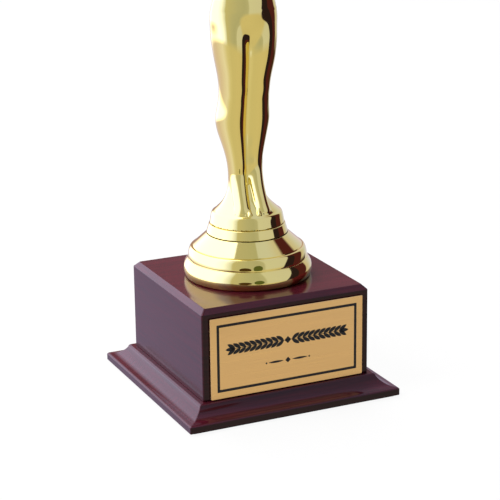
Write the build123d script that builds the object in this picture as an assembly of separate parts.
from build123d import *
import math
import os

# Figure trophy: a metallised plastic figure that raises a star, on a stepped
# riser, on a boxed wooden base with a moulded plinth and a nameplate.
# Millimetres, +Z up. The origin is the centre of the underside, and the
# nameplate and the figure both face -Y.

# ---------------------------------------------------------------- dimensions
# Felt and plinth board
felt_thickness = 0.6
felt_inset = 1.2            # from the plinth's edge to the felt's edge
plinth_thickness = 9.0
plinth_overhang = 10.4      # from the block's face to the plinth's edge
ledge_width = 1.6           # flat of the plinth around the block
shoulder_radius = 1.2       # round edge where the ledge ends
cove_sag = 1.1              # depth of the hollow moulding below its chord
lip_width = 0.5             # flat on top of the lip
lip_height = 3.4            # upright edge of the plinth board

# Boxed block
block_width = 80.0
block_depth = 80.0
block_height = 41.0
panel_thickness = 8.0
top_thickness = 8.0
top_chamfer = 2.2
corner_round = 0.8          # eased upright edges of the block
glue_block_size = 15.0

# Wood screws through the plinth board into the glue blocks
screw_length = 25.0
screw_radius = 1.75
screw_head_radius = 3.5
screw_head_height = 2.4
screw_point = 4.0
screw_recess = 0.3          # depth of the head below the board's underside
pilot_clearance = 0.05
pilot_extra_depth = 1.5

# Nameplate
plate_width = 73.0
plate_height = 36.5
plate_thickness = 0.5
plate_lift = 0.4            # gap between the ledge and the nameplate
tape_thickness = 0.3
tape_inset = 2.5

# Stepped riser
riser_wall = 1.8
foot_radius = 28.3
foot_bulge_radius = 28.8
foot_height = 8.2
middle_radius = 26.6
middle_height = 5.3
middle_sag = 0.8            # how far the middle step swells beyond its chord
cone_radius = 24.4
cone_height = 5.9
cone_top_radius = 18.2
groove_depth = 0.5          # fine grooves between the steps
groove_height = 0.35
boss_wall = 2.6
rib_count = 6
rib_thickness = 1.4
rib_lift = 1.0              # ribs stay clear of the block's top

# Collar between riser and figure
collar_radius = 18.1
collar_taper = 1.1          # the top of the collar is this much smaller in radius
collar_height = 4.6
collar_edge = 0.6
collar_wall = 1.8
register_height = 1.4       # raised rings that centre collar and figure
register_width = 2.0
register_gap = 0.15
figure_register_radius = 12.0

# Figure: disc and mound below the feet
disc_radius = 16.7
disc_height = 5.5
disc_taper = 1.1            # the top of the disc is this much smaller in radius
disc_edge = 0.9
mound_height = 12.0
mound_top_radius = 6.6
mound_sag = 2.2             # hollow of the mound below its chord

# Figure as a whole
figure_wall = 1.7

# Figure: spans between the stations of the body, from the disc's top upwards
heel_height = 8.6
heel_to_ankle = 6.0
ankle_to_shin = 9.2
shin_to_calf = 16.6
calf_to_knee = 12.5
knee_to_thigh = 14.4
thigh_to_crotch = 13.0
crotch_to_hip = 6.0
hip_to_waist = 15.0
waist_to_chest = 17.5
chest_to_shoulder = 9.5
shoulder_to_neck = 8.0

# Figure: width and depth of the body at each station
heel_width, heel_depth = 15.8, 12.4
ankle_width, ankle_depth = 14.7, 9.6
shin_width, shin_depth = 16.2, 10.6
calf_width, calf_depth = 24.0, 15.4
knee_width, knee_depth = 21.9, 14.0
thigh_width, thigh_depth = 27.1, 17.2
crotch_width, crotch_depth = 30.0, 19.0
hip_width, hip_depth = 30.4, 19.6
waist_width, waist_depth = 24.5, 15.2
chest_width, chest_depth = 31.6, 19.4
shoulder_width, shoulder_depth = 31.0, 15.6
neck_base_width, neck_base_depth = 13.4, 11.4

# Figure: how far behind the axis the body's centre lies at each station
heel_back, ankle_back, shin_back, calf_back, knee_back = 2.0, 3.0, 3.6, 4.4, 2.6
thigh_back, crotch_back, hip_back, waist_back = 0.8, 0.6, 0.8, 0.3
chest_back, shoulder_back, neck_back = -0.2, 0.7, 0.9

# Figure: how deep the groove between the two sides is, 0 none to 1 parted
leg_cleft_ratio = 0.8
crotch_cleft_ratio = 0.62
hip_cleft_ratio = 0.42
trunk_cleft_ratio = 0.3

# Figure: neck and head
neck_radius = 4.9
neck_length = 4.6           # from the base of the neck to the chin
neck_post_back = 1.0        # the neck's middle lies this far behind its base's
head_height = 20.6
head_width = 14.5
head_depth = 18.0
face_ratio = 0.38           # height of the nose and ears, as a share of the head's
nose_width = 2.2
nose_height = 5.0
nose_length = 1.6           # how far the nose stands out of the face
ear_height = 4.8
ear_depth = 2.8
ear_stand = 0.5             # how far the ears stand out of the head
ear_back = 0.3              # gap from the figure's glued joint to the ears
feature_root = 1.6          # how far the nose and ears reach into the head

# Figure: feet, measured from the axis forwards and from the disc upwards
foot_spread = 4.2           # from the middle to the centre of each foot
toe_reach, toe_rise = 14.0, 1.3
ball_reach, ball_rise = 9.8, 4.4
instep_reach, instep_rise = 4.4, 9.8
toe_width, toe_thickness = 6.2, 2.2
ball_width, ball_thickness = 6.8, 4.8
instep_width, instep_thickness = 5.9, 6.4
root_width, root_thickness = 5.3, 5.8
root_slope = 8.0            # the foot rises this much for each unit back, at the ankle

# Figure: glued joint between the two mouldings and its locating pins
parting_back = 1.8          # the joint lies this far behind the axis
pin_radius = 0.9
pin_length = 1.8
pin_gap = 0.08
pin_spread = 11.0           # from the axis to the pins in the disc

# Arms: each point of the arm from the middle of its flat seat, outwards and upwards
seat_out = 11.9             # from the axis to the middle of the seat
seat_rise = 2.2             # from the shoulder station up to the middle of the seat
seat_slope = 45.0
arm_back = 0.7
seat_depth = 2.0            # first section of the arm, below the seat
deltoid_out, deltoid_up = 5.0, 6.6
upper_arm_out, upper_arm_up = 8.9, 16.5
elbow_out, elbow_up = 11.4, 27.5
forearm_out, forearm_up = 9.0, 35.5
wrist_up = 49.5
palm_up = 56.5
finger_up = 62.0
fingertip_up = 65.0
wrist_out_of_hand = 2.4     # the wrist lies this far outside the hand
seat_radius = 6.6
deltoid_radius = 6.3
upper_arm_radius = 5.3
elbow_radius = 4.3
forearm_radius = 4.4
wrist_radius = 2.9
palm_radius, palm_thickness = 4.1, 5.6
finger_radius, finger_thickness = 3.6, 5.0
fingertip_radius, fingertip_thickness = 1.8, 3.6
spigot_radius = 3.0
spigot_length = 4.0
spigot_gap = 0.1

# Star, held by its two lower points
star_radius = 18.0
star_inner_radius = 8.2
star_thickness = 7.0
star_edge = 1.6             # thickness of the star's rim
star_grip = 6.0             # depth of the star's points in the hands
star_gap = 0.1

# Tie rod, insert, washer and nut
rod_radius = 3.0
rod_tail = 3.0              # rod below the nut
rod_hole_gap = 0.4
thread_gap = 0.08
insert_radius = 5.0
insert_height = 9.0
insert_gap = 0.1
washer_radius = 9.0
washer_thickness = 1.6
nut_width = 10.0
nut_height = 5.0

# ---------------------------------------------------------- derived levels
plinth_top = felt_thickness + plinth_thickness
block_top = plinth_top + block_height
panel_top = block_top - top_thickness
foot_top = block_top + foot_height
middle_top = foot_top + middle_height
riser_top = middle_top + cone_height
collar_top = riser_top + collar_height
disc_top = collar_top + disc_height
register_radius = collar_radius - collar_wall - register_gap
plinth_width = block_width + 2 * plinth_overhang
plinth_depth = block_depth + 2 * plinth_overhang

os.makedirs("parts", exist_ok=True)


def save(shape, name):
    """Write one piece to its STEP file."""
    export_step(shape, f"parts/{name}.step")


def upright(radius, bottom, top, x=0.0, y=0.0):
    """Upright cylinder between two levels."""
    return Pos(x, y, (bottom + top) / 2) * Cylinder(radius, top - bottom)


def box_between(low, high):
    """Box between two opposite corners."""
    size = [b - a for a, b in zip(low, high)]
    middle = [(a + b) / 2 for a, b in zip(low, high)]
    return Pos(*middle) * Box(*size)


def bulged(start, end, sag):
    """Arc from start to end that swells by sag to the left of its chord."""
    dx, dy = end[0] - start[0], end[1] - start[1]
    length = math.hypot(dx, dy)
    middle = ((start[0] + end[0]) / 2 - dy / length * sag,
              (start[1] + end[1]) / 2 + dx / length * sag)
    return ThreePointArc(start, middle, end)


def turned(outline):
    """Solid of revolution of a closed outline drawn as radius and height."""
    return revolve(Plane.XZ * make_face(outline), Axis.Z)


# ---------------------------------------------------------- felt and plinth
def plinth_half_outline(reach):
    """Edges of the moulding on the +X side of a section that reaches that far."""
    base = felt_thickness
    inner = reach - plinth_overhang + ledge_width
    shoulder_end = (inner + shoulder_radius, plinth_top - shoulder_radius)
    centre = (inner, plinth_top - shoulder_radius)
    half = math.sqrt(0.5) * shoulder_radius
    lip = (reach - lip_width, base + lip_height)
    return [
        ThreePointArc((inner, plinth_top), (centre[0] + half, centre[1] + half), shoulder_end),
        bulged(shoulder_end, lip, -cove_sag),
        Polyline(lip, (reach, base + lip_height - lip_width), (reach, base)),
    ]


def plinth_section(reach):
    """Face of the plinth board's section, symmetric about the Z axis."""
    right = Curve() + plinth_half_outline(reach)
    left = mirror(right, Plane.YZ)
    inner = reach - plinth_overhang + ledge_width
    top = Line((-inner, plinth_top), (inner, plinth_top))
    bottom = Line((-reach, felt_thickness), (reach, felt_thickness))
    return make_face([*right.edges(), *left.edges(), top, bottom])


def extruded_section(face, plane, reach):
    """Section drawn as (across, up) run along the plane's normal both ways."""
    return extrude(plane * face, reach, both=True)


screw_spots = [
    (sx * (block_width / 2 - panel_thickness - glue_block_size / 2),
     sy * (block_depth / 2 - panel_thickness - glue_block_size / 2))
    for sx in (-1, 1) for sy in (-1, 1)
]
screw_bottom = felt_thickness + screw_recess
screw_neck = screw_bottom + screw_head_height
screw_tip = screw_bottom + screw_length

felt = Pos(0, 0, felt_thickness / 2) * Box(
    plinth_width - 2 * felt_inset, plinth_depth - 2 * felt_inset, felt_thickness)
save(felt, "felt_pad")

plinth = extruded_section(plinth_section(plinth_width / 2), Plane.XZ, plinth_depth / 2)
plinth &= extruded_section(plinth_section(plinth_depth / 2), Plane.YZ, plinth_width / 2)
for x, y in screw_spots:
    head_hole = upright(screw_head_radius, felt_thickness, screw_bottom, x, y)
    sink = Pos(x, y, (screw_bottom + screw_neck) / 2) * Cone(
        screw_head_radius, screw_radius + pilot_clearance, screw_head_height)
    shank_hole = upright(screw_radius + pilot_clearance, screw_neck, plinth_top, x, y)
    plinth -= head_hole + sink + shank_hole
save(plinth, "plinth_board")

screw_outline = Polyline(
    (0, screw_bottom), (screw_head_radius, screw_bottom), (screw_radius, screw_neck),
    (screw_radius, screw_tip - screw_point), (0, screw_tip), close=True)
screw = turned(screw_outline)
save(Compound(children=[Pos(x, y, 0) * screw for x, y in screw_spots]), "plinth_screws")


# ---------------------------------------------------------------- boxed block
eased_block = Pos(0, 0, plinth_top) * extrude(
    RectangleRounded(block_width, block_depth, corner_round), block_height)


def mitred_panel(length, depth):
    """Panel on the -Y side, mitred at both ends."""
    outer, inner = length / 2, length / 2 - panel_thickness
    face = -depth / 2
    plan = Polyline((-outer, face), (outer, face), (inner, face + panel_thickness),
                    (-inner, face + panel_thickness), close=True)
    return Pos(0, 0, plinth_top) * extrude(make_face(plan), panel_top - plinth_top)


panel_places = {
    "front_panel": (0, block_width, block_depth),
    "right_panel": (90, block_depth, block_width),
    "back_panel": (180, block_width, block_depth),
    "left_panel": (270, block_depth, block_width),
}
for name, (angle, length, depth) in panel_places.items():
    save(Rot(0, 0, angle) * mitred_panel(length, depth) & eased_block, name)

rod_hole = upright(rod_radius + rod_hole_gap, panel_top, disc_top)


def chamfered_section(width):
    """Section of the top panel with both top edges chamfered."""
    half, low, high = width / 2, panel_top, block_top
    return make_face(Polyline(
        (-half, low), (half, low), (half, high - top_chamfer), (half - top_chamfer, high),
        (top_chamfer - half, high), (-half, high - top_chamfer), close=True))


top_panel = extruded_section(chamfered_section(block_width), Plane.XZ, block_depth / 2)
top_panel &= extruded_section(chamfered_section(block_depth), Plane.YZ, block_width / 2)
top_panel &= eased_block
save(top_panel - rod_hole, "top_panel")

pilot_top = screw_tip + pilot_extra_depth
block_names = ["left_front", "left_back", "right_front", "right_back"]
for name, (x, y) in zip(block_names, screw_spots):
    glue_block = Pos(x, y, (plinth_top + panel_top) / 2) * Box(
        glue_block_size, glue_block_size, panel_top - plinth_top)
    pilot = upright(screw_radius + pilot_clearance, plinth_top, pilot_top, x, y)
    save(glue_block - pilot, f"glue_block_{name}")

# ------------------------------------------------------------------ nameplate
plate_bottom = plinth_top + plate_lift
plate_middle = plate_bottom + plate_height / 2
tape_front = -block_depth / 2 - tape_thickness
tape = Pos(0, -block_depth / 2 - tape_thickness / 2, plate_middle) * Box(
    plate_width - 2 * tape_inset, tape_thickness, plate_height - 2 * tape_inset)
plate = Pos(0, tape_front - plate_thickness / 2, plate_middle) * Box(
    plate_width, plate_thickness, plate_height)
save(tape, "nameplate_tape")
save(plate, "nameplate")


# --------------------------------------------------------------- riser, collar
foot_shoulder = (middle_radius + groove_depth, foot_top)
middle_start = (middle_radius, foot_top + groove_height)
middle_end = (cone_radius - groove_depth, middle_top)
cone_start = (cone_radius, middle_top + groove_height)
cone_end = (cone_top_radius, riser_top)
groove_1 = middle_radius - groove_depth
groove_2 = cone_radius - 2 * groove_depth

riser_outline = [
    Polyline((0, riser_top), (0, block_top), (foot_radius, block_top)),
    ThreePointArc((foot_radius, block_top),
                  (foot_bulge_radius, block_top + foot_height * 0.45), foot_shoulder),
    Polyline(foot_shoulder, (groove_1, foot_top),
             (groove_1, foot_top + groove_height), middle_start),
    bulged(middle_start, middle_end, -middle_sag),
    Polyline(middle_end, (groove_2, middle_top),
             (groove_2, middle_top + groove_height), cone_start),
    Polyline(cone_start, cone_end, (0, riser_top)),
]
riser_cavity = turned(Polyline(
    (0, block_top), (foot_radius - riser_wall, block_top), (groove_1 - riser_wall, foot_top),
    (groove_2 - riser_wall, middle_top), (cone_top_radius - riser_wall, riser_top - riser_wall),
    (0, riser_top - riser_wall), close=True))
boss_radius = rod_radius + rod_hole_gap + boss_wall

riser = turned(riser_outline) - riser_cavity
riser += upright(boss_radius, block_top, riser_top - riser_wall)
for index in range(rib_count):
    rib = box_between((boss_radius - boss_wall / 2, -rib_thickness / 2, block_top + rib_lift),
                      (foot_bulge_radius, rib_thickness / 2, riser_top))
    riser += Rot(0, 0, 360 / rib_count * (index + 0.5)) * rib & riser_cavity
riser += (upright(register_radius, riser_top, riser_top + register_height)
          - upright(register_radius - register_width, riser_top, riser_top + register_height))
save(riser - rod_hole, "riser")

collar_top_radius = collar_radius - collar_taper
collar_outline = Polyline(
    (0, riser_top), (collar_radius - collar_edge, riser_top),
    (collar_radius, riser_top + collar_edge), (collar_top_radius, collar_top - collar_edge),
    (collar_top_radius - collar_edge, collar_top), (0, collar_top), close=True)
collar = turned(collar_outline)
collar -= upright(collar_radius - collar_wall, riser_top, collar_top - collar_wall)
collar += (upright(figure_register_radius, collar_top, collar_top + register_height)
           - upright(figure_register_radius - register_width,
                     collar_top, collar_top + register_height))
save(collar - rod_hole, "collar")


# --------------------------------------------------------------- figure: body
section_points = 24


def body_section(level, width, depth, back, cleft):
    """Closed outline of the body: two overlapping ellipses joined into one.

    Each ellipse has half axes a and b, and its centre lies cleft * a from the
    middle, so the outline is width wide and the groove between the two sides
    deepens as cleft grows.
    """
    a = width / 2 / (1 + cleft)
    b = depth / 2
    shift = cleft * a
    points = []
    for index in range(section_points):
        angle = 2 * math.pi * index / section_points - math.pi / 2
        c, s = math.cos(angle), math.sin(angle)
        q = (c / a) ** 2 + (s / b) ** 2
        root = math.sqrt(q - (shift * s / (a * b)) ** 2)
        reach = (abs(c) * shift / a ** 2 + root) / q
        points.append((reach * c, reach * s + back, level))
    return Wire([Spline(*points, periodic=True)])


def body_stations(bottom):
    """Stations of the body from the heels to the base of the neck."""
    rows = [
        (heel_height, heel_width, heel_depth, heel_back, leg_cleft_ratio),
        (heel_to_ankle, ankle_width, ankle_depth, ankle_back, leg_cleft_ratio),
        (ankle_to_shin, shin_width, shin_depth, shin_back, leg_cleft_ratio),
        (shin_to_calf, calf_width, calf_depth, calf_back, leg_cleft_ratio),
        (calf_to_knee, knee_width, knee_depth, knee_back, leg_cleft_ratio),
        (knee_to_thigh, thigh_width, thigh_depth, thigh_back, leg_cleft_ratio),
        (thigh_to_crotch, crotch_width, crotch_depth, crotch_back, crotch_cleft_ratio),
        (crotch_to_hip, hip_width, hip_depth, hip_back, hip_cleft_ratio),
        (hip_to_waist, waist_width, waist_depth, waist_back, trunk_cleft_ratio),
        (waist_to_chest, chest_width, chest_depth, chest_back, trunk_cleft_ratio),
        (chest_to_shoulder, shoulder_width, shoulder_depth, shoulder_back, trunk_cleft_ratio),
        (shoulder_to_neck, neck_base_width, neck_base_depth, neck_back, 0.0),
    ]
    level = bottom
    stations = []
    for span, *shape in rows:
        level += span
        stations.append((level, *shape))
    return stations


stations = body_stations(disc_top)
(heel, ankle, shin, calf, knee, thigh, crotch, hip, waist, chest, shoulder, neck) = stations
ankle_level, shoulder_level, neck_level = ankle[0], shoulder[0], neck[0]
body = Solid.make_loft([body_section(*station) for station in stations])

# The shoulders end in flat seats for the arms
seat_level = shoulder_level + seat_rise
seat_normal = (math.sin(math.radians(seat_slope)), math.cos(math.radians(seat_slope)))


def seat_plane(side):
    """Plane of the arm's seat, facing out of the body; side is 1 for +X, -1 for -X."""
    return Plane(origin=(side * seat_out, arm_back, seat_level), x_dir=(0, 1, 0),
                 z_dir=(side * seat_normal[0], 0, seat_normal[1]))


def beyond_seat(side):
    """Half space outside the arm's seat."""
    reach = 6 * shoulder_width
    return seat_plane(side) * Pos(0, 0, reach / 2) * Box(reach, reach, reach)


for side in (-1, 1):
    body -= beyond_seat(side)


# ------------------------------------------------------ figure: stand and feet
def ring(centre, direction, across, thick):
    """Elliptical outline square to a direction in the XZ or YZ plane.

    across is the full size along the ring's first axis and thick the other one.
    """
    first = (0, 1, 0) if direction[1] == 0 else (1, 0, 0)
    plane = Plane(origin=centre, x_dir=first, z_dir=direction)
    return (plane * Ellipse(across / 2, thick / 2)).wire()


mound_top = disc_top + mound_height
disc_top_radius = disc_radius - disc_taper
edge_inset = disc_edge * (1 - math.sqrt(0.5))
stand = turned([
    Polyline((0, mound_top), (0, collar_top), (disc_radius, collar_top),
             (disc_top_radius, disc_top - disc_edge)),
    ThreePointArc((disc_top_radius, disc_top - disc_edge),
                  (disc_top_radius - edge_inset, disc_top - edge_inset),
                  (disc_top_radius - disc_edge, disc_top)),
    bulged((disc_top_radius - disc_edge, disc_top), (mound_top_radius, mound_top), mound_sag),
    Line((mound_top_radius, mound_top), (0, mound_top)),
])


def foot(side):
    """Arched foot that points down the mound, from the toes up to the ankle."""
    x = side * foot_spread
    toe = (x, -toe_reach, disc_top + toe_rise)
    ball = (x, -ball_reach, disc_top + ball_rise)
    instep = (x, -instep_reach, disc_top + instep_rise)
    root = (x, ankle[3], ankle_level)
    slope = (0, ball_reach - instep_reach, instep_rise - ball_rise)
    return Solid.make_loft([
        ring(toe, (0, toe_reach - ball_reach, ball_rise - toe_rise), toe_width, toe_thickness),
        ring(ball, slope, ball_width, ball_thickness),
        ring(instep, slope, instep_width, instep_thickness),
        ring(root, (0, 1, root_slope), root_width, root_thickness),
    ])


# -------------------------------------------------------- figure: neck and head
chin_level = neck_level + neck_length
face_level = chin_level + head_height * face_ratio
# Height, width, depth and set-back of the head's outline as shares of its size
head_shape = [
    (0.00, 0.34, 0.34, -0.26), (0.06, 0.54, 0.55, -0.19), (0.17, 0.74, 0.76, -0.09),
    (0.32, 0.88, 0.91, -0.03), (0.47, 0.97, 0.98, 0.00), (0.62, 1.00, 1.00, 0.02),
    (0.78, 0.94, 0.96, 0.03), (0.90, 0.74, 0.78, 0.03), (0.97, 0.44, 0.48, 0.03),
    (1.00, 0.18, 0.20, 0.03),
]


head = Solid.make_loft([
    ring((0, share_back * head_depth, chin_level + share_up * head_height), (0, 0, 1),
         share_depth * head_depth, share_width * head_width)
    for share_up, share_width, share_depth, share_back in head_shape
])
neck_post = upright(neck_radius, neck_level - neck_length, face_level,
                    0, neck_back + neck_post_back)
face_front = -head_depth / 2
nose = extrude(Plane.YZ * make_face(Polyline(
    (face_front + feature_root, face_level + nose_height * 0.6),
    (face_front - nose_length, face_level - nose_height * 0.25),
    (face_front + feature_root, face_level - nose_height * 0.4), close=True)),
    nose_width / 2, both=True)


def ear(side):
    """Ear behind the glued joint; side is 1 for +X and -1 for -X."""
    length = feature_root + ear_stand
    middle = side * (head_width / 2 + ear_stand - length / 2)
    y = parting_back + ear_back + ear_depth / 2
    return Pos(middle, y, face_level) * extrude(
        Plane.YZ * Ellipse(ear_depth / 2, ear_height / 2), length / 2, both=True)


# ------------------------------------------------- figure: hollow and mouldings
trunk_hollow = Solid.make_loft([
    body_section(level, width - 2 * figure_wall, depth - 2 * figure_wall, back, cleft)
    for level, width, depth, back, cleft in (crotch, hip, waist, chest)
])


def leg_hollow(side):
    """Core of one leg, from the shin to the thigh."""
    rings = []
    for level, width, depth, back, cleft in (shin, calf, knee, thigh):
        half = width / 2 / (1 + cleft)
        rings.append(ring((side * cleft * half, back, level), (0, 0, 1),
                          depth - 2 * figure_wall, 2 * (half - figure_wall)))
    return Solid.make_loft(rings)


# --------------------------------------------------------------------- star
points_of_star = 5
star_tip_angle = math.pi / points_of_star
hand_out = star_radius * math.sin(star_tip_angle)
fingertip_level = seat_level + fingertip_up
star_level = fingertip_level - star_grip + star_radius * math.cos(star_tip_angle)


def star_solid(gap=0.0):
    """Faceted star, thickest in its middle, grown by gap on every side."""
    corners = []
    for index in range(2 * points_of_star):
        reach = (star_radius, star_inner_radius)[index % 2] + gap
        angle = math.pi / 2 + index * math.pi / points_of_star
        corners.append((reach * math.cos(angle), reach * math.sin(angle)))
    face = make_face(Polyline(*corners, close=True))
    rim = extrude(face, star_edge / 2 + gap, both=True)
    front = loft([Pos(0, 0, star_edge / 2 + gap) * face, Vertex(0, 0, star_thickness / 2 + gap)])
    solid = rim + front + mirror(front, Plane.XY)
    return Plane(origin=(0, arm_back, star_level), x_dir=(1, 0, 0), z_dir=(0, -1, 0)) * solid


# --------------------------------------------------------------------- arms
arm_steps = 4               # sections of the arm between two of its stations


def through(rows, steps):
    """Rows of numbers filled in with a smooth curve that passes through each row."""
    filled = []
    for index in range(len(rows) - 1):
        before, after = rows[max(index - 1, 0)], rows[min(index + 2, len(rows) - 1)]
        here, ahead = rows[index], rows[index + 1]
        for step in range(steps):
            t = step / steps
            filled.append(tuple(
                ((2 * b + (c - a) * t + (2 * a - 5 * b + 4 * c - d) * t ** 2
                  + (3 * b - a - 3 * c + d) * t ** 3) / 2)
                for a, b, c, d in zip(before, here, ahead, after)))
    return [*filled, rows[-1]]


def arm_on_plus_x():
    """Raised arm on the +X side, with its spigot and the notch for the star's point."""
    wrist_out = hand_out + wrist_out_of_hand
    stations = [
        (seat_out - seat_depth * seat_normal[0], -seat_depth * seat_normal[1],
         2 * seat_radius, 2 * seat_radius),
        (seat_out + deltoid_out, deltoid_up, 2 * deltoid_radius, 2 * deltoid_radius),
        (seat_out + upper_arm_out, upper_arm_up, 2 * upper_arm_radius, 2 * upper_arm_radius),
        (seat_out + elbow_out, elbow_up, 2 * elbow_radius, 2 * elbow_radius),
        (seat_out + forearm_out, forearm_up, 2 * forearm_radius, 2 * forearm_radius),
        (wrist_out, wrist_up, 2 * wrist_radius, 2 * wrist_radius),
        (hand_out, palm_up, 2 * palm_radius, palm_thickness),
        (hand_out, finger_up, 2 * finger_radius, finger_thickness),
        (hand_out, fingertip_up, 2 * fingertip_radius, fingertip_thickness),
    ]
    route = through(stations, arm_steps)
    rings = []
    for index, (out, up, across, thick) in enumerate(route):
        before, after = route[max(index - 1, 0)], route[min(index + 1, len(route) - 1)]
        direction = (after[0] - before[0], 0, after[1] - before[1])
        rings.append(ring((out, arm_back, seat_level + up), direction, thick, across))
    limb = Solid.make_loft(rings) & beyond_seat(1)
    spigot = seat_plane(1) * Pos(0, 0, -spigot_length / 2) * Cylinder(spigot_radius, spigot_length)
    return limb + spigot - star_solid(star_gap)


def spigot_socket(side):
    """Hole in the shoulder that takes the arm's spigot."""
    depth = spigot_length + spigot_gap
    return seat_plane(side) * Pos(0, 0, -depth / 2) * Cylinder(spigot_radius + spigot_gap, depth)


# ------------------------------------------------------- figure: two mouldings
recess_top = collar_top + register_height + register_gap
insert_top = recess_top + insert_height
pin_spots = [(-pin_spread, (collar_top + disc_top) / 2), (pin_spread, (collar_top + disc_top) / 2),
             (0, (thigh[0] + crotch[0]) / 2), (0, shoulder_level)]


def joint_pins(gap):
    """Locating pins that stand out of the back moulding into the front one."""
    length = pin_length + gap
    return [Pos(x, parting_back - length / 2, level) * Rot(90, 0, 0) * Cylinder(
        pin_radius + gap, length) for x, level in pin_spots]


figure = body + stand + foot(-1) + foot(1) + head + neck_post + nose + ear(-1) + ear(1)
figure -= [trunk_hollow, leg_hollow(-1), leg_hollow(1), spigot_socket(-1), spigot_socket(1)]
figure -= upright(figure_register_radius + register_gap, collar_top, recess_top)
figure -= upright(insert_radius + insert_gap, recess_top, insert_top + insert_gap)

half_size = 2 * (neck_level + head_height)
front_space = Pos(0, parting_back - half_size / 2, 0) * Box(half_size, half_size, 2 * half_size)
back_space = Pos(0, parting_back + half_size / 2, 0) * Box(half_size, half_size, 2 * half_size)
figure_front = (figure & front_space) - joint_pins(pin_gap)
figure_back = (figure & back_space) + joint_pins(0.0)
save(figure_front, "figure_front")
save(figure_back, "figure_back")
left_arm = arm_on_plus_x()
save(left_arm, "left_arm")
save(mirror(left_arm, Plane.YZ), "right_arm")
save(star_solid(), "star")

# ------------------------------------------------- tie rod, insert, washer, nut
insert = upright(insert_radius, recess_top, insert_top)
insert -= upright(rod_radius + thread_gap, recess_top, insert_top)
washer_bottom = panel_top - washer_thickness
nut_bottom = washer_bottom - nut_height
washer = upright(washer_radius, washer_bottom, panel_top)
washer -= upright(rod_radius + rod_hole_gap, washer_bottom, panel_top)
nut = Pos(0, 0, nut_bottom) * extrude(
    RegularPolygon(nut_width / 2, 6, major_radius=False), nut_height)
nut -= upright(rod_radius + thread_gap, nut_bottom, washer_bottom)
rod = upright(rod_radius, nut_bottom - rod_tail, insert_top)
save(insert, "threaded_insert")
save(washer, "washer")
save(nut, "hex_nut")
save(chamfer(rod.edges(), rod_radius / 6), "tie_rod")
